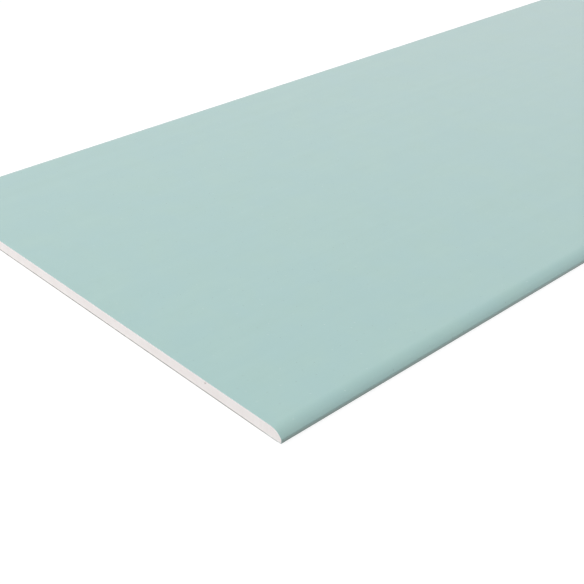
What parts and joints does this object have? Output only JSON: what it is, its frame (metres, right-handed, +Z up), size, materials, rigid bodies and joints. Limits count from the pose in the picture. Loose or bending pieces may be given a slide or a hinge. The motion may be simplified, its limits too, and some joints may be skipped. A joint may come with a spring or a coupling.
{
  "type": "drywall sheet",
  "caption": "Flat rectangular drywall sheet with a white gypsum core, pale green paper over the face and the half-round long edges, and square-cut ends, for lining walls and ceilings.",
  "frame": {"origin": "centre of the back, on the surface that the sheet lies on", "axes": "+X along the length, +Y across the width, +Z up through the thickness, out of the green face"},
  "size_m": [2, 0.6, 0.0125],
  "materials": {
    "gypsum": "matte, finely porous, sawn",
    "face_paper": "matte, finely felted, pale green",
    "back_paper": "matte, grey recycled fibre"
  },
  "bodies": {
    "root": {"gypsum_core": "gypsum", "face_paper": "face_paper", "back_paper": "back_paper"}
  },
  "joints": []
}
